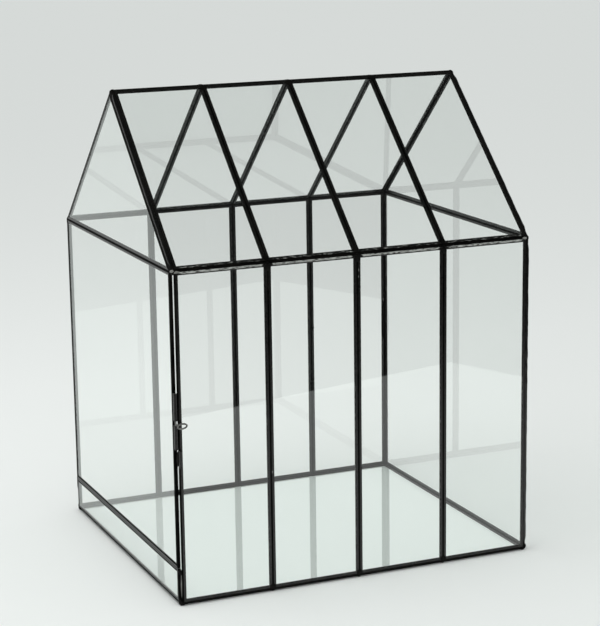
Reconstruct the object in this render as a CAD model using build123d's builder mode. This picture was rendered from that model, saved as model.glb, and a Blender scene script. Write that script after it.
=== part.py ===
"""Tabletop glass greenhouse: clear panes in thin metal channels, with a side-hung end door.

Millimetres, +Z up. The ridge runs along X, the door is in the -X end, and the origin is at
the centre of the footprint on the underside.
"""
import math
import os

from build123d import *

os.makedirs("parts", exist_ok=True)

# Overall form
length = 300.0            # outside, along the ridge
depth = 262.0             # outside, across the ridge
wall_top = 258.0          # top edge of the walls above the table
ridge_rise = 118.5        # from the wall tops to the inner ridge line
wall_foot = 2.4           # lower edge of the walls above the table
bays = 4                  # panes in each long wall and each roof slope

# Glass and the channel that edges each pane
glass_thick = 2.2
channel_wall = 0.3        # sheet that the channel is folded from
channel_leg = 2.55        # how far the channel laps over the pane's edge, web included
glass_edge_gap = 0.3      # between a pane's edge and the channel's web

# Solder in the grooves between channels, and the lumps where grooves meet
seam_radius = 1.7
full_seam_radius = 2.4    # at the corners and verges, where the groove is nearly full
door_seam_radius = 0.9    # beside the sill, where the groove is nearly empty
lump_radius = 2.7
seam_end_gap = 1.5        # from a groove's end to its seam's end, inside the lump there

# Door and the fixed strip below it
sill_height = 26.9
door_top_gap = 0.4
door_foot_gap = 0.4
door_latch_gap = 1.5      # between the door and the front wall
door_hinge_gap = 0.8      # between the door and the back wall

# Hinge: a tube along the door's back edge turns on a fixed wire
running_gap = 0.05        # radial, wire in tube
groove_clearance = 0.4    # between a tube and the wall end beside it
hinge_wire = 1.0
hinge_tube_wall = 0.45
hinge_web = 1.1           # width of the solder between tube and channel
hinge_end_gap = 0.3       # between the tube's ends and the lumps that hold the wire
hinge_lump = 2.4          # diameter of the solder round each end of the wire
hinge_lump_web = 1.6      # width of the solder between lump and back wall
hinge_top_lump_height = 3.5
hinge_foot_lump_height = 9.0

# Latch: a wire with a finger ring turns in two tubes on the door
latch_height = 141.6      # top of the lower tube above the table
latch_wire = 1.3
latch_tube_wall = 0.7
latch_web = 1.5
latch_upper_length = 21.0
latch_lower_length = 18.5
latch_tube_spacing = 3.8
latch_seat_gap = 0.3      # between the ring's stem and the lower tube
latch_stand_off = 1.7     # from the front wall's inner face out to the turning axis
ring_radius = 3.4         # to the middle of the wire
ring_reach = 6.4          # from the turning axis to the middle of the ring
ring_bearing = 60.0       # degrees from +X toward -Y, at rest
ring_tilt = 12.0          # degrees that the ring leans about its stem
ring_rise = 14.0          # degrees that the ring rises away from its stem
ring_facets = 12          # sides of the ring's wire in section
keeper_length = 13.0
keeper_gap = 0.6          # below the lower tube
keeper_inset = 0.5        # from the front wall's end in to the keeper's axis
keeper_seat = 0.1         # solder between the keeper and the front wall

# Derived sizes
channel_thick = glass_thick + 2 * channel_wall
end_face = length / 2 - channel_thick      # inner faces of the end walls
side_face = depth / 2 - channel_thick      # inner faces of the long walls
slope_angle = math.atan2(ridge_rise, side_face)
slope_length = math.hypot(ridge_rise, side_face)
slope_sin = math.sin(slope_angle)
slope_cos = math.cos(slope_angle)
bay_width = 2 * end_face / bays
apex = wall_top + ridge_rise
sill_top = wall_foot + sill_height
door_foot = sill_top + door_foot_gap
door_top = wall_top - door_top_gap

# Directions that walls and slopes face and that grooves run
to_left, to_right = Vector(-1, 0, 0), Vector(1, 0, 0)
to_front, to_back = Vector(0, -1, 0), Vector(0, 1, 0)
up, down = Vector(0, 0, 1), Vector(0, 0, -1)
front_normal = Vector(0, -slope_sin, slope_cos)
back_normal = Vector(0, slope_sin, slope_cos)
front_rising = Vector(0, slope_cos, slope_sin)
back_rising = Vector(0, -slope_cos, slope_sin)

# Planes on the inner faces of the walls and slopes, facing outward with their Y uphill
front_plane = Plane(origin=(0, -side_face, 0), x_dir=to_right, z_dir=to_front)
back_plane = Plane(origin=(0, side_face, 0), x_dir=to_left, z_dir=to_back)
left_plane = Plane(origin=(-end_face, 0, 0), x_dir=to_front, z_dir=to_left)
right_plane = Plane(origin=(end_face, 0, 0), x_dir=to_back, z_dir=to_right)
front_slope = Plane(origin=(0, -side_face, wall_top), x_dir=to_right, z_dir=front_normal)
back_slope = Plane(origin=(0, side_face, wall_top), x_dir=to_left, z_dir=back_normal)


def rectangle_outline(x_low, x_high, y_low, y_high):
    return [(x_low, y_low), (x_high, y_low), (x_high, y_high), (x_low, y_high)]


def save(part, label):
    part.label = label
    export_step(part, f"parts/{label}.step")


def channel_frame(plane, outline):
    """A channel folded round the outline, open toward the pane, mitred at its corners."""
    with BuildPart() as frame:
        with BuildSketch(plane):
            with BuildLine():
                Polyline(*outline, close=True)
            make_face()
        extrude(amount=channel_thick)
        with BuildSketch(plane):
            with BuildLine():
                Polyline(*outline, close=True)
            make_face()
            offset(amount=-channel_leg)
        extrude(amount=channel_thick, mode=Mode.SUBTRACT)
        with BuildSketch(plane.offset(channel_wall)):
            with BuildLine():
                Polyline(*outline, close=True)
            make_face()
            offset(amount=-channel_wall)
        extrude(amount=glass_thick, mode=Mode.SUBTRACT)
    return frame.part


def glass_panes(plane, outlines):
    """Panes that sit in the channels of the given outlines."""
    with BuildPart() as panes:
        for outline in outlines:
            with BuildSketch(plane.offset(channel_wall)):
                with BuildLine():
                    Polyline(*outline, close=True)
                make_face()
                offset(amount=-(channel_wall + glass_edge_gap))
            extrude(amount=glass_thick)
    return panes.part


def solder_seams(grooves):
    """Rounded beads along grooves. Each groove has its start, direction and length, the
    directions of its two sides and the bead's radius."""
    with BuildPart() as beads:
        for start, along, groove_length, first_side, second_side, radius in grooves:
            section = Plane(origin=start + along * seam_end_gap, x_dir=first_side, z_dir=along)
            middle = (first_side + second_side).normalized() * radius
            end = second_side * radius
            crown_point = (middle.dot(section.x_dir), middle.dot(section.y_dir))
            end_point = (end.dot(section.x_dir), end.dot(section.y_dir))
            with BuildSketch(section):
                with BuildLine():
                    Line((0, 0), (radius, 0))
                    ThreePointArc((radius, 0), crown_point, end_point)
                    Line(end_point, (0, 0))
                make_face()
            extrude(amount=groove_length - 2 * seam_end_gap)
    return beads.part


# Long walls and roof slopes, numbered from the door end
wall_bays = []
roof_bays = []
for bay in range(bays):
    bay_start = -end_face + bay * bay_width
    wall_bays.append(rectangle_outline(bay_start, bay_start + bay_width, wall_foot, wall_top))
    roof_bays.append(rectangle_outline(bay_start, bay_start + bay_width, 0, slope_length))

for bay in range(bays):
    mirrored_bay = bays - 1 - bay
    save(channel_frame(front_plane, wall_bays[bay]), f"front_wall_frame_{bay + 1}")
    save(channel_frame(back_plane, wall_bays[mirrored_bay]), f"back_wall_frame_{bay + 1}")
    save(channel_frame(front_slope, roof_bays[bay]), f"front_roof_frame_{bay + 1}")
    save(channel_frame(back_slope, roof_bays[mirrored_bay]), f"back_roof_frame_{bay + 1}")

save(glass_panes(front_plane, wall_bays), "front_wall_glass")
save(glass_panes(back_plane, wall_bays), "back_wall_glass")
save(glass_panes(front_slope, roof_bays), "front_roof_glass")
save(glass_panes(back_slope, roof_bays), "back_roof_glass")

# Ends: a gable at each, a full pane on the right, a sill strip and the door on the left
gable = [(-side_face, wall_top), (side_face, wall_top), (0, apex)]
end_pane = rectangle_outline(-side_face, side_face, wall_foot, wall_top)
sill_pane = rectangle_outline(-side_face, side_face, wall_foot, sill_top)
door_pane = rectangle_outline(
    -side_face + door_hinge_gap, side_face - door_latch_gap, door_foot, door_top
)

save(channel_frame(left_plane, gable), "left_gable_frame")
save(glass_panes(left_plane, [gable]), "left_gable_glass")
save(channel_frame(right_plane, gable), "right_gable_frame")
save(glass_panes(right_plane, [gable]), "right_gable_glass")
save(channel_frame(right_plane, end_pane), "right_end_frame")
save(glass_panes(right_plane, [end_pane]), "right_end_glass")
save(channel_frame(left_plane, sill_pane), "left_sill_frame")
save(glass_panes(left_plane, [sill_pane]), "left_sill_glass")
save(channel_frame(left_plane, door_pane), "door_frame")
save(glass_panes(left_plane, [door_pane]), "door_glass")

# Base pane, lying between the walls
base_pane = rectangle_outline(-end_face, end_face, -side_face, side_face)
save(channel_frame(Plane.XY, base_pane), "base_frame")
save(glass_panes(Plane.XY, [base_pane]), "base_glass")

# Corners where the inner faces of walls, base and slopes meet
left_front_foot = Vector(-end_face, -side_face, wall_foot)
left_back_foot = Vector(-end_face, side_face, wall_foot)
right_front_foot = Vector(end_face, -side_face, wall_foot)
right_back_foot = Vector(end_face, side_face, wall_foot)
left_front_eave = Vector(-end_face, -side_face, wall_top)
left_back_eave = Vector(-end_face, side_face, wall_top)
right_front_eave = Vector(end_face, -side_face, wall_top)
right_back_eave = Vector(end_face, side_face, wall_top)
left_apex = Vector(-end_face, 0, apex)
right_apex = Vector(end_face, 0, apex)

long_run = 2 * end_face
cross_run = 2 * side_face
wall_run = wall_top - wall_foot
hinge_corner_run = sill_height - hinge_foot_lump_height

front_eave_seam = solder_seams([
    (left_front_eave, to_right, long_run, to_front, front_normal, seam_radius),
])
back_eave_seam = solder_seams([
    (left_back_eave, to_right, long_run, to_back, back_normal, seam_radius),
])
ridge_seam = solder_seams([
    (left_apex, to_right, long_run, front_normal, back_normal, full_seam_radius),
])
verge_seams = solder_seams([
    (left_front_eave, front_rising, slope_length, to_left, front_normal, full_seam_radius),
    (left_back_eave, back_rising, slope_length, to_left, back_normal, full_seam_radius),
    (right_front_eave, front_rising, slope_length, to_right, front_normal, full_seam_radius),
    (right_back_eave, back_rising, slope_length, to_right, back_normal, full_seam_radius),
])
corner_seams = solder_seams([
    (left_front_foot, up, sill_height, to_left, to_front, door_seam_radius),
    (left_back_foot, up, hinge_corner_run, to_left, to_back, seam_radius),
    (right_front_foot, up, wall_run, to_right, to_front, full_seam_radius),
    (right_back_foot, up, wall_run, to_right, to_back, full_seam_radius),
])
base_seams = solder_seams([
    (left_front_foot, to_right, long_run, to_front, down, seam_radius),
    (left_back_foot, to_right, long_run, to_back, down, seam_radius),
    (left_front_foot, to_back, cross_run, to_left, down, seam_radius),
    (right_front_foot, to_back, cross_run, to_right, down, seam_radius),
])
save(front_eave_seam, "front_eave_seam")
save(back_eave_seam, "back_eave_seam")
save(ridge_seam, "ridge_seam")
save(verge_seams, "verge_seams")
save(corner_seams, "corner_seams")
save(base_seams, "base_seams")

# Hinge axis, in the corner groove beside the back wall
hinge_bore = hinge_wire + 2 * running_gap
hinge_tube = hinge_bore + 2 * hinge_tube_wall
hinge_x = -(end_face + groove_clearance + hinge_tube / 2)
hinge_y = side_face + channel_thick / 2
hinge_tube_top = wall_top - hinge_top_lump_height - hinge_end_gap
hinge_foot = sill_top - hinge_foot_lump_height
door_hinge_edge = side_face - door_hinge_gap

# Solder lumps at the corners: balls outside everything that the panes enclose, flat at the table
with BuildPart() as corner_lumps:
    for corner in (
        left_front_foot, left_back_foot, right_front_foot, right_back_foot,
        left_front_eave, left_back_eave, right_front_eave, right_back_eave,
        left_apex, right_apex,
    ):
        with Locations(corner):
            Sphere(lump_radius)
    with BuildSketch(Plane.YZ):
        with BuildLine():
            Polyline(
                (-side_face, 0), (side_face, 0), (side_face, wall_foot), (depth / 2, wall_foot),
                (depth / 2, wall_top), (side_face, wall_top), (0, apex), (-side_face, wall_top),
                (-depth / 2, wall_top), (-depth / 2, wall_foot), (-side_face, wall_foot), close=True,
            )
        make_face()
    extrude(amount=end_face, both=True, mode=Mode.SUBTRACT)
    with BuildSketch(Plane.YZ):
        with BuildLine():
            Polyline(
                (-side_face, wall_foot), (side_face, wall_foot), (side_face, wall_top), (0, apex),
                (-side_face, wall_top), close=True,
            )
        make_face()
    extrude(amount=length / 2, both=True, mode=Mode.SUBTRACT)
    for slope in (front_slope, back_slope):
        with BuildSketch(slope):
            with Locations((0, slope_length / 2)):
                Rectangle(long_run, slope_length)
        extrude(amount=channel_thick, mode=Mode.SUBTRACT)
    with BuildSketch(Plane.XY.offset(wall_top)):
        with Locations((hinge_x, hinge_y)):
            Rectangle(2 * lump_radius, 2 * lump_radius)
    extrude(amount=-2 * lump_radius, mode=Mode.SUBTRACT)
    with BuildSketch(Plane.XY):
        Rectangle(long_run + 2 * lump_radius, cross_run + 2 * lump_radius)
    extrude(amount=-lump_radius, mode=Mode.SUBTRACT)
    for seam in (
        front_eave_seam, back_eave_seam, ridge_seam, verge_seams, corner_seams, base_seams
    ):
        add(seam, mode=Mode.SUBTRACT)
save(corner_lumps.part, "corner_lumps")

with BuildPart() as door_hinge_tube:
    with BuildSketch(Plane.XY.offset(door_foot)):
        with Locations((hinge_x, hinge_y)):
            Circle(hinge_tube / 2)
        with Locations((hinge_x, (hinge_y + door_hinge_edge) / 2)):
            Rectangle(hinge_web, hinge_y - door_hinge_edge)
        with Locations((hinge_x, hinge_y)):
            Circle(hinge_bore / 2, mode=Mode.SUBTRACT)
    extrude(amount=hinge_tube_top - door_foot)
save(door_hinge_tube.part, "door_hinge_tube")

with BuildPart() as hinge_pin:
    with BuildSketch(Plane.XY.offset(hinge_foot)):
        with Locations((hinge_x, hinge_y)):
            Circle(hinge_wire / 2)
    extrude(amount=wall_top - hinge_foot)
    for lump_foot, lump_height in (
        (hinge_foot, hinge_foot_lump_height),
        (wall_top - hinge_top_lump_height, hinge_top_lump_height),
    ):
        with BuildSketch(Plane.XY.offset(lump_foot)):
            with Locations((hinge_x, hinge_y)):
                Circle(hinge_lump / 2)
            with Locations(((hinge_x - end_face) / 2, hinge_y)):
                Rectangle(-end_face - hinge_x, hinge_lump_web)
        extrude(amount=lump_height)
save(hinge_pin.part, "hinge_pin")

# Latch axis, in the corner groove beside the front wall
latch_bore = latch_wire + 2 * running_gap
latch_tube = latch_bore + 2 * latch_tube_wall
latch_x = -(end_face + groove_clearance + latch_tube / 2)
latch_y = -(side_face + latch_stand_off)
door_latch_edge = -(side_face - door_latch_gap)
lower_tube_foot = latch_height - latch_lower_length
upper_tube_foot = latch_height + latch_tube_spacing
upper_tube_top = upper_tube_foot + latch_upper_length

with BuildPart() as latch_tubes:
    for tube_foot, tube_length in (
        (lower_tube_foot, latch_lower_length),
        (upper_tube_foot, latch_upper_length),
    ):
        with BuildSketch(Plane.XY.offset(tube_foot)):
            with Locations((latch_x, latch_y)):
                Circle(latch_tube / 2)
            with Locations((latch_x, (latch_y + door_latch_edge) / 2)):
                Rectangle(latch_web, door_latch_edge - latch_y)
            with Locations((latch_x, latch_y)):
                Circle(latch_bore / 2, mode=Mode.SUBTRACT)
        extrude(amount=tube_length)
save(latch_tubes.part, "latch_tubes")

ring_axis = Vector(latch_x, latch_y, latch_height + latch_seat_gap + latch_wire / 2)
bearing = math.radians(ring_bearing)
stem_way = Vector(math.cos(bearing), -math.sin(bearing), 0)
stem = Plane(origin=ring_axis, x_dir=up, z_dir=stem_way)
ring_plane = Plane(
    origin=ring_axis + stem_way * (ring_reach - ring_radius), x_dir=stem_way, z_dir=up
)
ring_plane = ring_plane.rotated((ring_tilt, -ring_rise, 0))
ring_section = Plane(
    origin=ring_plane.origin, x_dir=ring_plane.x_dir, z_dir=ring_plane.y_dir
)
ring_middle = ring_plane.origin + ring_plane.x_dir * ring_radius

with BuildPart() as latch_ring:
    with BuildSketch(Plane.XY.offset(lower_tube_foot)):
        with Locations((latch_x, latch_y)):
            Circle(latch_wire / 2)
    extrude(amount=upper_tube_top - lower_tube_foot)
    with BuildSketch(stem):
        Circle(latch_wire / 2)
    extrude(amount=ring_reach - ring_radius)
    with BuildSketch(ring_section):
        RegularPolygon(latch_wire / 2, side_count=ring_facets)
    revolve(axis=Axis(ring_middle, ring_plane.z_dir), revolution_arc=360)
save(latch_ring.part, "latch_ring")

# Keeper, on the front wall's end channel just below the latch
keeper_x = -end_face + keeper_inset
keeper_y = -(depth / 2 + keeper_seat + latch_tube / 2)

with BuildPart() as latch_keeper:
    with BuildSketch(Plane.XY.offset(lower_tube_foot - keeper_gap - keeper_length)):
        with Locations((keeper_x, keeper_y)):
            Circle(latch_tube / 2)
        with Locations((keeper_x + latch_tube / 8, (keeper_y - depth / 2) / 2)):
            Rectangle(latch_tube / 4, -depth / 2 - keeper_y)
        with Locations((keeper_x, keeper_y)):
            Circle(latch_bore / 2, mode=Mode.SUBTRACT)
    extrude(amount=keeper_length)
save(latch_keeper.part, "latch_keeper")
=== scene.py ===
"""The look of the tabletop glass greenhouse: clear panes, black patinated channels and solder.

Metres, +Z up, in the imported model's own frame: the ridge runs along X, the door is in the -X
end, and the origin is at the centre of the footprint on the underside.
"""
import math

import bmesh
import bpy
from mathutils import Matrix, Vector, noise as wave


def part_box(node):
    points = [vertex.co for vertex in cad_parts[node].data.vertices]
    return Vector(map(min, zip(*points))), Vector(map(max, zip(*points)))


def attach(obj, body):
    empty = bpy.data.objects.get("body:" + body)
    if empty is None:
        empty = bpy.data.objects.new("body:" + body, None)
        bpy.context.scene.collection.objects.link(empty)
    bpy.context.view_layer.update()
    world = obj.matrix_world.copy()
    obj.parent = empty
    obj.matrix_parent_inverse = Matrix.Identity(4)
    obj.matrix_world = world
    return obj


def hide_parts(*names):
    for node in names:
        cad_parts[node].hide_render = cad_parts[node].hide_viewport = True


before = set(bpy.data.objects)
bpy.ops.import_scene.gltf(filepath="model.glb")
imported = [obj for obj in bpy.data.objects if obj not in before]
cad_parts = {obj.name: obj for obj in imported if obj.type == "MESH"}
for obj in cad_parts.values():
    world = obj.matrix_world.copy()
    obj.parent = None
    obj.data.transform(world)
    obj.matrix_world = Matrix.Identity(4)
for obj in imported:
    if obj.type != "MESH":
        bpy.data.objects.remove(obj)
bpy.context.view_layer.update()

# Camera, at the photograph's viewing angle
camera_place = Vector((-0.62201, -1.47019, 0.54173))
camera_azimuth = 23.204     # degrees from +Y toward +X
camera_fall = 12.543        # degrees below the horizon
camera_roll = -0.809
camera_lens = 114.04        # millimetres
camera_sensor = 36          # millimetres

# Channels, in metres
channel_leg = 0.0027        # how far a channel and the solder on it lap over the pane
channel_sheet = 0.0003
fold_radius = 0.00035       # outside, where the web folds into a flange
shade_strip_width = 0.0009         # of the dull strip beside the fold, from the web: a matte black that paints the shade in the fold's groove
worn_and_lit_width = 0.0018         # how far from the web a flange is worn and painted lighter: real wear and a painted highlight
lip_radius = 0.00012
lip_steps = 4
fold_steps = 5
flange_crown = 0.00012      # how far a flange's edges lie below its middle
crown_shares = (0.6, 0.2, -0.2, -0.6)   # where its middle is cut, in shares of half its width
channel_step = 0.004        # between cuts along a channel
channel_waves = 0.00006     # how far a flange dips, and its lip wanders
wave_scale = 130.0          # waves per metre
dip_scale = 0.6             # the dips' scale, as a share of wave_scale
side_shift = 3              # stretches the heights, so that the two flanges' waves differ
lip_start = 0.5             # of a flange's width, from where its lip wanders
waves_fade = 4              # the lip's waves fade over one part in this many at a side's ends
channel_crease = 38         # degrees, from which an edge looks sharp
# How worn and painted lighter the eaves' outside flanges are on walls and roof: partly real wear, partly a
# painted highlight of the light from above
wall_wear_and_sheen = 1.0
roof_wear_and_sheen = 0.68
door_lean_foot = 0.0007     # toward the latch
door_lean_head = 0.0003

# Solder, with lengths in metres
drop_detail = 3             # subdivisions
drop_bulge = 0.22           # as a share of its radii
drop_waves = 1.4            # waves per radius
drop_shift = 3.7            # between one drop's noise and the next
bead_step = 0.003           # between rings along a bead
bead_scale = 160.0          # waves per metre
bead_sides = 12
bead_swell = 0.14           # as a share of its radius
bead_bulge = 0.06
bead_bulge_scale = 2
bead_tip = 0.45             # of its radius at its ends
bead_growth = 0.3           # of its radius, from one ring to the next
bead_crease = 50            # degrees

# Places in the house, from the model
base_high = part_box("base_frame")[1]
wall_low, wall_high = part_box("right_end_frame")
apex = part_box("right_gable_frame")[1].z
sill_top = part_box("left_sill_frame")[1].z
end_face, side_face = base_high.x, base_high.y
wall_foot, wall_top = wall_low.z, wall_high.z
channel_thick = wall_high.x - wall_low.x
half_thick = channel_thick / 2
slope_length = math.hypot(side_face, apex - wall_top)
slope_cos = side_face / slope_length
slope_sin = (apex - wall_top) / slope_length
bays = range(1, 5)
dividers = [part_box(f"front_wall_frame_{bay}")[1].x for bay in bays[:-1]]

# Glass
glass_index = 1.5
glass_tint = (0.993, 0.998, 0.995, 1)   # what one face lets through
base_tint = (0.975, 0.992, 0.985, 1)    # the same on the base pane, which looks greener
pane_light = (0.95, 0.96, 0.955, 1)     # what it lets straight through to lamps and mirrored rays
mirror_tint = (0.97, 1.0, 0.985, 1)

# Noises: scale in waves per metre, detail and roughness
smear_noise = (14, 4, 0.5)
patch_noise = (45, 4, 0.6)
streak_noise = (220, 4, 0.7)
grain_noise = (700, 3, 0.6)
matte_noise = (60, 4, 0.6)
grit_noise = (900, 3, 0.6)

# Finishes. A span gives a low and a high result, then the low and high that they come from.
smear_span = (0.0, 0.04, 0.5, 0.8)
patina_index = 1.45
patina_stops = (0.35, 0.75)
grain_bump = (0.00006, 0.5)             # depth in metres, and strength
streak_stretch = (1, 5, 5)
streak_weight = 2.2
# Where a flange turns light grey: partly worn metal, partly a painted highlight
rubbed_and_lit_span = (0.0, 1.0, 1.85, 2.2)
rubbed_roughness = 0.15                 # added where the metal is bare
# The matte finish: the dark solder's own colour, and a painted shade in the channels' folds, grooves and lips
matte_stops = (0.4, 0.75)
matte_roughness_span = (0.45, 0.8)
grit_bump = (0.00008, 0.6)

# Studio
floor_colour = (0.785, 0.80, 0.79, 1)
far_floor = (0.825, 0.835, 0.83, 1)
floor_span = (0.4, 1.5, 0.0, 1.0)       # the share of far_floor, from the ridge to 1 m behind it
floor_roughness = 0.9
floor_half = 20.0
left_sky = (1.0, 1.03, 1.015, 1)
right_sky = (0.90, 0.93, 0.915, 1)
sky_span = (0.0, 1.0, -0.2, 0.8)
daylight = 0.84
lamp_place = (-0.55, -0.1, 1.35)
lamp_width = 1.0
lamp_power = 6.4                        # watts
white_table = (1.1, 1.12, 1.11)
dark_room = (0.03, 0.03, 0.03)
dark_ceiling = (0.06, 0.062, 0.062)

# Studio cards, in metres: their height, or place in Y, then from and to in both directions
table_card = (0.001, -12.0, 12.0, -2.0, -0.14)
backdrop_card = (3.0, -4.0, 6.0, 0.2, 3.0)
wall_card = (-4.0, -6.0, 6.0, 0.0, 6.0)
ceiling_card = (3.4, -8.0, 8.0, -8.0, 8.0)
table_corner = Vector((0.384, -0.711, 0.002))
table_front = Vector((-0.352, 0.086, 0)).normalized()
table_side = Vector((0.038, 0.089, 0)).normalized()
side_reach = 1.2
far = 12.0


def principled(name):
    """A material with its Principled shader and its node tree, ready for more nodes."""
    material = bpy.data.materials.new(name)
    material.use_nodes = True
    tree = material.node_tree
    return material, tree, tree.nodes["Principled BSDF"]


def coordinates(tree, stretch=(1, 1, 1)):
    """Object coordinates, in metres, stretched along the axes."""
    place = tree.nodes.new("ShaderNodeTexCoord")
    mapping = tree.nodes.new("ShaderNodeMapping")
    mapping.inputs["Scale"].default_value = stretch
    tree.links.new(place.outputs["Object"], mapping.inputs["Vector"])
    return mapping.outputs["Vector"]


def noise(tree, vector, scale, detail, roughness):
    """A noise factor, about 0.5."""
    node = tree.nodes.new("ShaderNodeTexNoise")
    node.inputs["Scale"].default_value = scale
    node.inputs["Detail"].default_value = detail
    node.inputs["Roughness"].default_value = roughness
    tree.links.new(vector, node.inputs["Vector"])
    return node.outputs["Fac"]


def ramp(tree, factor, stops):
    """A colour ramp with (position, colour) stops."""
    node = tree.nodes.new("ShaderNodeValToRGB")
    elements = node.color_ramp.elements
    while len(elements) < len(stops):
        elements.new(0.5)
    for element, (position, colour) in zip(elements, stops):
        element.position = position
        element.color = colour
    tree.links.new(factor, node.inputs["Fac"])
    return node.outputs["Color"]


def span(tree, factor, low, high, from_low=0.0, from_high=1.0):
    """A value between low and high, as factor goes from from_low to from_high."""
    node = tree.nodes.new("ShaderNodeMapRange")
    node.inputs["From Min"].default_value = from_low
    node.inputs["From Max"].default_value = from_high
    node.inputs["To Min"].default_value = low
    node.inputs["To Max"].default_value = high
    tree.links.new(factor, node.inputs["Value"])
    return node.outputs["Result"]


def bump(tree, height, shader, distance, strength):
    """Bumps as deep as distance, in the shader's normal."""
    node = tree.nodes.new("ShaderNodeBump")
    node.inputs["Distance"].default_value = distance
    node.inputs["Strength"].default_value = strength
    tree.links.new(height, node.inputs["Height"])
    tree.links.new(node.outputs["Normal"], shader.inputs["Normal"])


def math_node(tree, operation, first, second):
    """A Math node on two inputs, each an output socket or a number."""
    node = tree.nodes.new("ShaderNodeMath")
    node.operation = operation
    for socket, value in zip(node.inputs, (first, second)):
        if isinstance(value, (int, float)):
            socket.default_value = value
        else:
            tree.links.new(value, socket)
    return node.outputs["Value"]


def mix_shaders(tree, factor, first, second):
    """A Mix Shader node that goes from the first shader to the second."""
    node = tree.nodes.new("ShaderNodeMixShader")
    tree.links.new(factor, node.inputs["Fac"])
    tree.links.new(first.outputs[0], node.inputs[1])
    tree.links.new(second.outputs[0], node.inputs[2])
    return node


def glass_material(name, tint):
    """Clear sheet glass. A pane mirrors where the eye's rays enter it, as much as its two faces
    do together, and bends what is seen through it. Lamps and mirrored rays come straight
    through, as through a thin pane."""
    material, tree, mirror = principled(name)
    mirror.inputs["Base Color"].default_value = mirror_tint
    mirror.inputs["Metallic"].default_value = 1.0
    smears = noise(tree, coordinates(tree), *smear_noise)
    tree.links.new(span(tree, smears, *smear_span), mirror.inputs["Roughness"])

    bend = tree.nodes.new("ShaderNodeBsdfRefraction")
    bend.inputs["Color"].default_value = tint
    bend.inputs["Roughness"].default_value = 0.0
    bend.inputs["IOR"].default_value = glass_index
    fresnel = tree.nodes.new("ShaderNodeFresnel")
    fresnel.inputs["IOR"].default_value = glass_index
    one_face = fresnel.outputs["Fac"]
    both_faces = math_node(
        tree, "DIVIDE", math_node(tree, "MULTIPLY", one_face, 2), math_node(tree, "ADD", one_face, 1)
    )
    side = tree.nodes.new("ShaderNodeNewGeometry")
    entering = math_node(tree, "SUBTRACT", 1, side.outputs["Backfacing"])
    pane = mix_shaders(tree, math_node(tree, "MULTIPLY", both_faces, entering), bend, mirror)

    straight = tree.nodes.new("ShaderNodeBsdfTransparent")
    straight.inputs["Color"].default_value = pane_light
    path = tree.nodes.new("ShaderNodeLightPath")
    unseen = math_node(
        tree, "MAXIMUM", path.outputs["Is Shadow Ray"], path.outputs["Is Reflection Ray"]
    )
    whole = mix_shaders(tree, unseen, pane, straight)
    tree.links.new(whole.outputs["Shader"], tree.nodes["Material Output"].inputs["Surface"])
    return material


def patina_material(name, dark, brown, shine, worn_and_lit=None):
    """Black chemical patina over metal: near black, in places olive brown, half shiny. Where the
    attribute is high it turns light grey in streaks and specks: metal rubbed through to dull metal, and a
    painted highlight where the eaves' flanges catch the light from above."""
    material, tree, shader = principled(name)
    vector = coordinates(tree)
    patches = noise(tree, vector, *patch_noise)
    colour = ramp(tree, patches, list(zip(patina_stops, ((*dark, 1), (*brown, 1)))))
    shader.inputs["IOR"].default_value = patina_index
    grain = noise(tree, vector, *grain_noise)
    roughness = span(tree, grain, *shine)
    # Light grey where the attribute is high: rubbed metal and a painted highlight
    if worn_and_lit:
        attribute = tree.nodes.new("ShaderNodeAttribute")
        attribute.attribute_name = "wear_and_sheen"
        streaks = noise(tree, coordinates(tree, streak_stretch), *streak_noise)
        streaks = math_node(tree, "MULTIPLY", streaks, streak_weight)
        rubbed_and_lit = math_node(tree, "ADD", attribute.outputs["Fac"], streaks)
        rubbed_and_lit = span(tree, rubbed_and_lit, *rubbed_and_lit_span)
        mixed = tree.nodes.new("ShaderNodeMix")
        mixed.data_type = "RGBA"
        tree.links.new(rubbed_and_lit, mixed.inputs["Factor"])
        tree.links.new(colour, mixed.inputs["A"])
        mixed.inputs["B"].default_value = (*worn_and_lit, 1)
        colour = mixed.outputs["Result"]
        rougher = math_node(tree, "MULTIPLY", rubbed_and_lit, rubbed_roughness)
        roughness = math_node(tree, "ADD", roughness, rougher)
    tree.links.new(colour, shader.inputs["Base Color"])
    tree.links.new(roughness, shader.inputs["Roughness"])
    bump(tree, grain, shader, *grain_bump)
    return material


def matte_material(name, dark, brown, gloss):
    """Matte black with olive-brown patches: the dark solder's own colour, and a painted shade in the
    channels' folds, grooves and along their lips.
    """
    material, tree, shader = principled(name)
    patches = noise(tree, coordinates(tree), *matte_noise)
    colour = ramp(tree, patches, list(zip(matte_stops, ((*dark, 1), (*brown, 1)))))
    tree.links.new(colour, shader.inputs["Base Color"])
    shader.inputs["Specular IOR Level"].default_value = gloss
    grit = noise(tree, coordinates(tree), *grit_noise)
    tree.links.new(span(tree, grit, *matte_roughness_span), shader.inputs["Roughness"])
    bump(tree, grit, shader, *grit_bump)
    return material


glass = glass_material("glass", glass_tint)
base_glass = glass_material("base_glass", base_tint)
# The channels' light grey on the eaves is partly rubbed metal, partly a painted highlight
channel = patina_material(
    "channel", (0.002, 0.0025, 0.002), (0.007, 0.006, 0.005), (0.2, 0.38), worn_and_lit=(0.40, 0.41, 0.39)
)
# Painted shade: the matte black laid in the channels' folds, grooves and lips, where they fall in shade
crevice_shade = matte_material("crevice_shade", (0.0012, 0.0014, 0.0012), (0.009, 0.008, 0.007), 0.03)
solder = matte_material("solder", (0.0014, 0.0015, 0.0013), (0.007, 0.006, 0.0045), 0.12)
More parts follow.
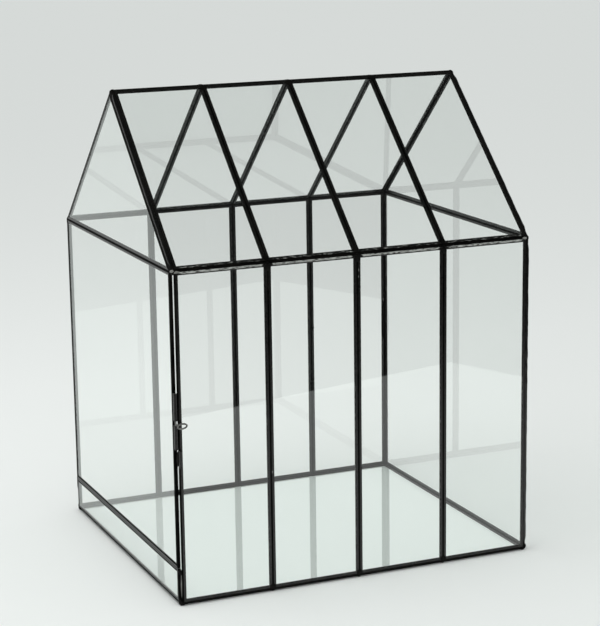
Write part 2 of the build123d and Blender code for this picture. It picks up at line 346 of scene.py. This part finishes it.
# The light grey of bare solder, also a painted highlight on the bright drops, specks and the corner streak
tin_and_glint = patina_material("tin_and_glint", (0.05, 0.05, 0.045), (0.42, 0.42, 0.40), (0.2, 0.45))
grey_solder = patina_material("grey_solder", (0.02, 0.02, 0.018), (0.14, 0.14, 0.13), (0.3, 0.5))
bead_solder = patina_material("bead_solder", (0.001, 0.0012, 0.001), (0.005, 0.005, 0.004), (0.16, 0.35))
# The latch ring's light grey is worn metal, and also a painted highlight on the wire
wire_and_glint = patina_material("wire_and_glint", (0.015, 0.015, 0.014), (0.40, 0.40, 0.38), (0.2, 0.4))

for name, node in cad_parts.items():
    if name == "base_glass":
        finish = base_glass
    elif name.endswith("glass"):
        finish = glass
    elif name.endswith(("seam", "seams", "lumps")) or name.startswith(("hinge", "door_hinge")):
        finish = solder
    elif name == "latch_ring":
        finish = wire_and_glint
    else:
        finish = channel
    for material_slot in node.material_slots:
        material_slot.material = finish


def plane(origin, across, uphill, outward):
    """A matrix from (across, uphill, outward) on a wall or slope to the house's frame."""
    columns = Matrix((across, uphill, outward)).transposed().to_4x4()
    return Matrix.Translation(origin) @ columns


front_plane = plane((0, -side_face, 0), (1, 0, 0), (0, 0, 1), (0, -1, 0))
back_plane = plane((0, side_face, 0), (1, 0, 0), (0, 0, 1), (0, 1, 0))
left_plane = plane((-end_face, 0, 0), (0, 1, 0), (0, 0, 1), (-1, 0, 0))
right_plane = plane((end_face, 0, 0), (0, 1, 0), (0, 0, 1), (1, 0, 0))
base_plane = plane((0, 0, 0), (1, 0, 0), (0, 1, 0), (0, 0, 1))
front_slope = plane(
    (0, -side_face, wall_top), (1, 0, 0), (0, slope_cos, slope_sin), (0, -slope_sin, slope_cos)
)
back_slope = plane(
    (0, side_face, wall_top), (1, 0, 0), (0, -slope_cos, slope_sin), (0, slope_sin, slope_cos)
)


def arc(centre, radius, start, end, steps):
    """Points on an arc between two angles in degrees."""
    angles = [math.radians(start + (end - start) * step / steps) for step in range(steps + 1)]
    return [Vector((math.cos(angle), math.sin(angle))) * radius + centre for angle in angles]


def channel_section():
    """The folded channel's section: distances in from the outline and heights from inside."""
    edge = channel_thick - flange_crown
    half_flange = (channel_leg - lip_radius - fold_radius) / 2
    tilt = math.degrees(2 * flange_crown / half_flange)
    flange = [Vector((channel_leg, channel_thick - channel_sheet))]
    flange += arc(Vector((channel_leg - lip_radius, edge - lip_radius)), lip_radius, 0, 90 - tilt, lip_steps)
    for share in crown_shares:
        height = channel_thick - flange_crown * share ** 2
        flange.append(Vector((fold_radius + half_flange * (1 + share), height)))
    flange += arc(Vector((fold_radius, edge - fold_radius)), fold_radius, 90 + tilt, 180, fold_steps)
    lower = [Vector((point.x, channel_thick - point.y)) for point in reversed(flange)]
    inside = [
        Vector((channel_sheet, channel_sheet)), Vector((channel_sheet, channel_thick - channel_sheet))
    ]
    return flange + lower + inside


def inset(corners, distance):
    """The corners of a convex outline moved in from its sides, which run anticlockwise."""
    moved = []
    for before, corner, after in zip(corners[-1:] + corners[:-1], corners, corners[1:] + corners[:1]):
        first = (corner - before).normalized()
        second = (after - corner).normalized()
        first_in = Vector((-first.y, first.x))
        second_in = Vector((-second.y, second.x))
        moved.append(corner + (first_in + second_in) * distance / (1 + first_in.dot(second_in)))
    return moved


def channel_points(place, corners, section, cuts, worn_and_lit_side, worn_and_lit):
    """The points of a channel, ring by ring, with a hand-made waviness, and how worn and painted lighter each
    is.
    """
    vertices, wear_and_sheen = [], []
    for distance, height in section:
        ring = inset(corners, distance)
        upper = height > half_thick
        for side, (start, end) in enumerate(zip(ring, ring[1:] + ring[:1])):
            run = (end - start).normalized()
            inward = Vector((-run.y, run.x))
            for cut in range(cuts[side]):
                share = cut / cuts[side]
                point = start.lerp(end, share)
                ease = min(1, waves_fade * share, waves_fade * (1 - share))
                seat = place @ Vector((point.x, point.y, side_shift * height))
                lip = max(0, distance / channel_leg - lip_start)
                point += inward * lip * ease * channel_waves * wave.noise(seat * wave_scale)
                dip = channel_waves * abs(wave.noise(seat * wave_scale * dip_scale))
                level = height - dip if upper else height + dip
                vertices.append(place @ Vector((point.x, point.y, level)))
                # The outside flange near the web on the worn side: real wear and a painted highlight
                rubbed_and_lit = side == worn_and_lit_side and upper and cut > 0 and distance < worn_and_lit_width
                wear_and_sheen.append(worn_and_lit if rubbed_and_lit else 0.0)
    return vertices, wear_and_sheen


def grid_faces(rows, count):
    """Four-sided faces between rows of count points, closed in both directions."""
    faces = []
    for row in range(rows):
        below = (row + 1) % rows
        for column in range(count):
            beside = (column + 1) % count
            faces.append((
                row * count + column, row * count + beside, below * count + beside, below * count + column
            ))
    return faces


def channel_piece(name, body, place, corners, worn_and_lit_side=None, worn_and_lit=1.0, dull=None):
    """A folded channel round a pane, with soft edges. Its flange is worn on the outside of one side, and
    painted lighter there as a painted highlight.
    Dull gives the dull strip's two edges on the sides where they differ; the dull strip is a matte black
    painted shade."""
    shade_strips = {side: (0, shade_strip_width) for side in range(len(corners))}
    shade_strips.update(dull or {})
    section = channel_section()
    sides = zip(corners, corners[1:] + corners[:1])
    cuts = [max(2, round((end - start).length / channel_step)) for start, end in sides]
    count = sum(cuts)
    vertices, wear_and_sheen = channel_points(place, corners, section, cuts, worn_and_lit_side, worn_and_lit)
    mesh = bpy.data.meshes.new(name)
    mesh.from_pydata(vertices, [], grid_faces(len(section), count))
    mesh.attributes.new("wear_and_sheen", "FLOAT", "POINT").data.foreach_set("value", wear_and_sheen)
    builder = bmesh.new()
    builder.from_mesh(mesh)
    bmesh.ops.recalc_face_normals(builder, faces=builder.faces)
    builder.to_mesh(mesh)
    builder.free()
    mesh.shade_smooth()
    mesh.set_sharp_from_angle(angle=math.radians(channel_crease))
    mesh.materials.append(channel)
    mesh.materials.append(crevice_shade)
    side_of = [side for side, cut_count in enumerate(cuts) for cut in range(cut_count)]
    # Faces in a dull strip take the matte black painted shade
    for face in mesh.polygons:
        row, column = divmod(face.index, count)
        spots = (section[row].x, section[(row + 1) % len(section)].x)
        nearest, furthest = shade_strips[side_of[column]]
        face.material_index = int(min(spots) >= nearest and max(spots) < furthest)
    piece = bpy.data.objects.new(name + "_channel", mesh)
    bpy.context.scene.collection.objects.link(piece)
    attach(piece, body)
    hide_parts(name)


def rectangle(x_low, x_high, y_low, y_high):
    """Its corners, anticlockwise from the lower left."""
    corners = ((x_low, y_low), (x_high, y_low), (x_high, y_high), (x_low, y_high))
    return [Vector(corner) for corner in corners]


# Sides of a rectangle and of a gable, in the order of their corners
bottom_side, hinge_side, top_side, latch_side = range(4)
back_verge_side, front_verge_side = 1, 2

# Where a flange is dull, with a matte black painted shade: from and to, measured from the web
fold_only = (0, 0.0005)
lips_only = (0.0012, 0.003)
half_way = (0, 0.0017)
all_over = (0, 0.003)
all_but_lips = (0, 0.0022)

for bay in bays:
    low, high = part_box(f"front_wall_frame_{bay}")
    wall_outline = rectangle(low.x, high.x, low.z, high.z)
    roof_outline = rectangle(low.x, high.x, 0, slope_length)
    for wall_name, wall_place, roof_name, roof_place in (
        ("front_wall_frame", front_plane, "front_roof_frame", front_slope),
        ("back_wall_frame", back_plane, "back_roof_frame", back_slope),
    ):
        channel_piece(
            f"{wall_name}_{bay}", "house", wall_place, wall_outline, top_side, wall_wear_and_sheen,
            {top_side: fold_only},
        )
        channel_piece(
            f"{roof_name}_{bay}", "house", roof_place, roof_outline, bottom_side, roof_wear_and_sheen,
            {bottom_side: fold_only},
        )
for name, place, dull in (
    ("left_sill_frame", left_plane, {top_side: lips_only, bottom_side: half_way}),
    ("right_end_frame", right_plane, None),
):
    low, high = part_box(name)
    channel_piece(name, "house", place, rectangle(low.y, high.y, low.z, high.z), dull=dull)

# The door leans a little toward the latch, most at its foot
low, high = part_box("door_frame")
door_outline = rectangle(low.y, high.y, low.z, high.z)
latch_foot, latch_head = door_outline[0], door_outline[3]
latch_foot.x -= door_lean_foot
latch_head.x -= door_lean_head
channel_piece(
    "door_frame", "door", left_plane, door_outline,
    dull={latch_side: all_over, hinge_side: all_but_lips, bottom_side: lips_only},
)

gable = [Vector((-side_face, wall_top)), Vector((side_face, wall_top)), Vector((0, apex))]
channel_piece(
    "left_gable_frame", "house", left_plane, gable,
    dull={back_verge_side: half_way, front_verge_side: all_but_lips},
)
channel_piece("right_gable_frame", "house", right_plane, gable)
channel_piece("base_frame", "house", base_plane, rectangle(-end_face, end_face, -side_face, side_face))


def drops(name, finish, places):
    """Uneven drops of solder. Each has its plane and place there, its radii across, uphill
    and outward, and how much wider it grows uphill."""
    builder = bmesh.new()
    for index, (place, spot, radii, taper) in enumerate(places):
        made = bmesh.ops.create_icosphere(builder, subdivisions=drop_detail, radius=1)
        shift = Vector((index * drop_shift, len(name), 0))
        for vertex in made["verts"]:
            way = vertex.co.copy()
            way *= 1 + drop_bulge * wave.noise(way * drop_waves + shift)
            local = Vector((
                way.x * radii[0] * (1 + taper * way.y), way.y * radii[1], way.z * radii[2]
            ))
            vertex.co = place @ (Vector(spot) + local)
    mesh = bpy.data.meshes.new(name)
    bmesh.ops.recalc_face_normals(builder, faces=builder.faces)
    builder.to_mesh(mesh)
    builder.free()
    mesh.shade_smooth()
    mesh.materials.append(finish)
    piece = bpy.data.objects.new(name, mesh)
    bpy.context.scene.collection.objects.link(piece)
    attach(piece, "house")


def bead(name, place, start, end, radius):
    """A run of solder between two spots on a plane, uneven in width and closed at both ends."""
    start, end = Vector(start), Vector(end)
    steps = max(4, round((end - start).length / bead_step))
    along = (end - start).normalized()
    beside = along.orthogonal().normalized()
    across = along.cross(beside)
    builder = bmesh.new()
    rings = []
    for step in range(steps + 1):
        middle = start.lerp(end, step / steps)
        seat = middle * bead_scale
        size = radius * (1 + bead_swell * wave.noise(seat))
        size *= min(1, bead_tip + bead_growth * step, bead_tip + bead_growth * (steps - step))
        ring = []
        for turn in range(bead_sides):
            angle = math.tau * turn / bead_sides
            way = beside * math.cos(angle) + across * math.sin(angle)
            bulge = 1 + bead_bulge * wave.noise(seat * bead_bulge_scale + way)
            ring.append(builder.verts.new(place @ (middle + way * size * bulge)))
        rings.append(ring)
    for first, second in zip(rings, rings[1:]):
        for turn in range(bead_sides):
            beside_turn = (turn + 1) % bead_sides
            builder.faces.new((first[turn], first[beside_turn], second[beside_turn], second[turn]))
    builder.faces.new(list(reversed(rings[0])))
    builder.faces.new(rings[-1])
    bmesh.ops.recalc_face_normals(builder, faces=builder.faces)
    mesh = bpy.data.meshes.new(name)
    builder.to_mesh(mesh)
    builder.free()
    mesh.shade_smooth()
    mesh.set_sharp_from_angle(angle=math.radians(bead_crease))
    mesh.materials.append(bead_solder)
    piece = bpy.data.objects.new(name, mesh)
    bpy.context.scene.collection.objects.link(piece)
    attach(piece, "house")


# Thick beads of solder down the front right corner and the verges of the front slope
mm = 0.001
bead_x = end_face + 0.7 * mm
bead_radius = 1.7 * mm
corner_foot, corner_top = 6 * mm, 255 * mm
verge_foot, verge_top = 3 * mm, slope_length - 2 * mm
bead(
    "right_corner_bead", front_plane, (bead_x, corner_foot, half_thick), (bead_x, corner_top, half_thick),
    bead_radius,
)
for side, x in (("left", -bead_x), ("right", bead_x)):
    bead(
        f"{side}_verge_bead", front_slope, (x, verge_foot, half_thick), (x, verge_top, half_thick),
        bead_radius,
    )

# Solder where the dividers meet the eaves, the ridge and the foot. The caps stand out less on
# the back wall, where the model's box ends.
cap_sink = 0.1 * mm
front_proud = 0.12 * mm
back_proud = -0.36 * mm
eave_caps, ridge_caps, foot_caps = [], [], []
for x in dividers:
    for wall, slope, proud in (
        (front_plane, front_slope, front_proud), (back_plane, back_slope, back_proud)
    ):
        face = channel_thick + proud - cap_sink
        eave_caps += [
            (wall, (x, wall_top - 3.0 * mm, face), (2.5 * mm, 2.5 * mm, 0.38 * mm), -0.1),
            (wall, (x, wall_top + 0.3 * mm, half_thick), (1.3 * mm, 1.2 * mm, 1.05 * mm), 0),
            (slope, (x, 2.6 * mm, channel_thick), (2.5 * mm, 2.6 * mm, 0.36 * mm), 0.1),
        ]
        ridge_caps.append(
            (slope, (x, slope_length - 2.6 * mm, channel_thick), (3.4 * mm, 3.2 * mm, 0.5 * mm), 0.35)
        )
        foot_caps += [
            (wall, (x, wall_foot + 2.0 * mm, face), (2.6 * mm, 2.2 * mm, 0.38 * mm), -0.15),
            (wall, (x, wall_foot - 0.8 * mm, channel_thick * 0.45), (1.8 * mm, 1.3 * mm, 1.2 * mm), 0),
        ]
drops("eave_caps", solder, eave_caps)
drops("ridge_caps", solder, ridge_caps)
drops("foot_caps", solder, foot_caps)

# Bright drops of bare solder at the front eave's ends, their brightness partly a painted highlight, and a
# painted highlight as a streak low in the left corner
left_end = -end_face - half_thick
front_side = -side_face - half_thick
drops("bright_drops", tin_and_glint, [
    (front_plane, (left_end, wall_top + 0.5 * mm, 1.5 * mm), (1.5 * mm, 1.1 * mm, 1.5 * mm), 0),
    (front_plane, (-end_face + 1.8 * mm, wall_top - 0.4 * mm, 2.3 * mm), (2.4 * mm, 0.9 * mm, 0.9 * mm), 0),
    (front_plane, (-end_face + 7.5 * mm, wall_top - 0.9 * mm, 2.5 * mm), (1.6 * mm, 0.6 * mm, 0.6 * mm), 0),
    (front_plane, (end_face - 2.0 * mm, wall_top + 0.2 * mm, 2.3 * mm), (1.9 * mm, 1.1 * mm, 0.9 * mm), 0),
    (front_plane, (left_end + 0.9 * mm, 15 * mm, 0.8 * mm), (0.5 * mm, 10 * mm, 0.6 * mm), 0),
])

# Specks of bare metal on two front dividers, the back right post and the sill's top bar; their light grey is
# partly a painted highlight
front_face = channel_thick - 0.05 * mm
drops("bright_specks", tin_and_glint, [
    (front_plane, (dividers[1] + 1.2 * mm, 246 * mm, front_face), (0.25 * mm, 1.3 * mm, 0.15 * mm), 0),
    (front_plane, (dividers[1] + 0.9 * mm, 241 * mm, front_face), (0.3 * mm, 0.9 * mm, 0.15 * mm), 0),
    (front_plane, (dividers[0] + 1.0 * mm, 96 * mm, front_face), (0.2 * mm, 1.0 * mm, 0.12 * mm), 0),
    (back_plane, (145.6 * mm, 158 * mm, 0), (0.35 * mm, 2.4 * mm, 0.2 * mm), 0),
    (back_plane, (145.2 * mm, 146 * mm, 0), (0.3 * mm, 1.2 * mm, 0.2 * mm), 0),
    (back_plane, (145.8 * mm, 129 * mm, 0), (0.35 * mm, 3.0 * mm, 0.2 * mm), 0),
    (left_plane, (18 * mm, sill_top - 1.2 * mm, front_face), (1.1 * mm, 0.4 * mm, 0.15 * mm), 0),
])

# Grey drops along the front eave
drops("grey_drops", grey_solder, [
    (front_plane, (dividers[0] + 38 * mm, wall_top - 1.5 * mm, 2.6 * mm), (1.0 * mm, 0.6 * mm, 0.5 * mm), 0),
    (front_plane, (dividers[1] + 21 * mm, wall_top - 1.3 * mm, 2.6 * mm), (1.3 * mm, 0.5 * mm, 0.5 * mm), 0),
    (front_plane, (dividers[2] + 30 * mm, wall_top - 1.4 * mm, 2.6 * mm), (1.1 * mm, 0.6 * mm, 0.5 * mm), 0),
])

# Black lumps at the sill and the foot, on two back bars and round the latch's keeper
keeper_low, keeper_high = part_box("latch_keeper")
keeper_middle = (keeper_low.z + keeper_high.z) / 2
drops("dark_drops", solder, [
    (left_plane, (front_side, sill_top - 2.2 * mm, half_thick), (1.3 * mm, 2.2 * mm, 1.3 * mm), 0),
    (left_plane, (front_side, wall_foot + 1.2 * mm, half_thick), (1.4 * mm, 1.8 * mm, 1.4 * mm), 0),
    (left_plane, (side_face + 0.8 * mm, wall_foot + 1.6 * mm, half_thick), (1.4 * mm, 1.7 * mm, 1.3 * mm), 0),
    (right_plane, (front_side, wall_foot + 1.2 * mm, half_thick), (1.4 * mm, 2.0 * mm, 1.15 * mm), 0),
    (back_plane, (dividers[2] + 1.4 * mm, 140 * mm, 0.1 * mm), (1.5 * mm, 1.6 * mm, 0.7 * mm), 0),
    (back_plane, (end_face - 1.6 * mm, 140 * mm, 0.1 * mm), (1.8 * mm, 19 * mm, 0.5 * mm), 0),
    (left_plane, (-side_face - 2.0 * mm, keeper_middle, 0.9 * mm), (1.5 * mm, 6.2 * mm, 0.9 * mm), 0),
])

# Floor, its colour lighter further behind the house: painted light on the far table
bpy.ops.mesh.primitive_plane_add(size=2 * floor_half)
floor = bpy.context.object
floor.name = "floor"
material, tree, shader = principled("floor")
place = tree.nodes.new("ShaderNodeTexCoord")
axes = tree.nodes.new("ShaderNodeSeparateXYZ")
tree.links.new(place.outputs["Object"], axes.inputs["Vector"])
shade = ramp(tree, span(tree, axes.outputs["Y"], *floor_span), [(0, floor_colour), (1, far_floor)])
tree.links.new(shade, shader.inputs["Base Color"])
shader.inputs["Roughness"].default_value = floor_roughness
shader.inputs["Specular IOR Level"].default_value = 0.0
floor.data.materials.append(material)

# Sky: plain light, a little stronger from the left
world = bpy.data.worlds.new("studio")
bpy.context.scene.world = world
world.use_nodes = True
tree = world.node_tree
background = tree.nodes["Background"]
place = tree.nodes.new("ShaderNodeTexCoord")
axes = tree.nodes.new("ShaderNodeSeparateXYZ")
tree.links.new(place.outputs["Generated"], axes.inputs["Vector"])
sky = ramp(tree, span(tree, axes.outputs["X"], *sky_span), [(0, left_sky), (1, right_sky)])
tree.links.new(sky, background.inputs["Color"])
background.inputs["Strength"].default_value = daylight


def softbox(name, place, width, power):
    """A square area lamp at place, facing down, that glass and metal don't mirror."""
    data = bpy.data.lights.new(name, "AREA")
    data.size = width
    data.energy = power
    lamp = bpy.data.objects.new(name, data)
    lamp.location = place
    lamp.visible_glossy = False
    bpy.context.scene.collection.objects.link(lamp)


def card(name, corners, brightness):
    """A flat studio card that only mirror-like surfaces show."""
    mesh = bpy.data.meshes.new(name)
    mesh.from_pydata(corners, [], [range(len(corners))])
    board = bpy.data.objects.new(name, mesh)
    bpy.context.scene.collection.objects.link(board)
    material, tree, shader = principled(name)
    shader.inputs["Base Color"].default_value = (0, 0, 0, 1)
    shader.inputs["Specular IOR Level"].default_value = 0.0
    shader.inputs["Emission Color"].default_value = (*brightness, 1)
    shader.inputs["Emission Strength"].default_value = 1.0
    mesh.materials.append(material)
    board.visible_camera = False
    board.visible_diffuse = False
    board.visible_transmission = False
    board.visible_shadow = False
    board.visible_volume_scatter = False


def level_corners(height, x_low, x_high, y_low, y_high):
    """The corners of a level rectangle."""
    return [(corner.x, corner.y, height) for corner in rectangle(x_low, x_high, y_low, y_high)]


def upright_corners(y, x_low, x_high, z_low, z_high):
    """The corners of an upright rectangle that runs along X."""
    return [(corner.x, y, corner.y) for corner in rectangle(x_low, x_high, z_low, z_high)]


softbox("top_light", lamp_place, lamp_width, lamp_power)

# The white table that the object stands on ends in front and on the right, and the room is dark
card("white_table", level_corners(*table_card), white_table)
card("white_backdrop", upright_corners(*backdrop_card), white_table)
card("dark_front", [
    table_corner, table_corner + table_front * far,
    table_corner + table_front * far - Vector((0, far, 0)), table_corner - Vector((0, far, 0)),
], dark_room)
card("dark_right", [
    table_corner, table_corner - Vector((0, far, 0)),
    table_corner + Vector((far, -far, 0)), table_corner + Vector((far, 0, 0)),
    table_corner + table_side * side_reach,
], dark_room)
card("dark_wall", upright_corners(*wall_card), dark_room)
card("dark_ceiling", level_corners(*ceiling_card), dark_ceiling)

# Camera
camera_data = bpy.data.cameras.new("camera")
camera_data.lens = camera_lens
camera_data.sensor_width = camera_sensor
camera = bpy.data.objects.new("camera", camera_data)
camera.matrix_world = (
    Matrix.Translation(camera_place)
    @ Matrix.Rotation(-math.radians(camera_azimuth), 4, "Z")
    @ Matrix.Rotation(math.radians(90 - camera_fall), 4, "X")
    @ Matrix.Rotation(math.radians(camera_roll), 4, "Z")
)
bpy.context.scene.collection.objects.link(camera)
bpy.context.scene.camera = camera
bpy.context.scene.view_settings.view_transform = "Standard"
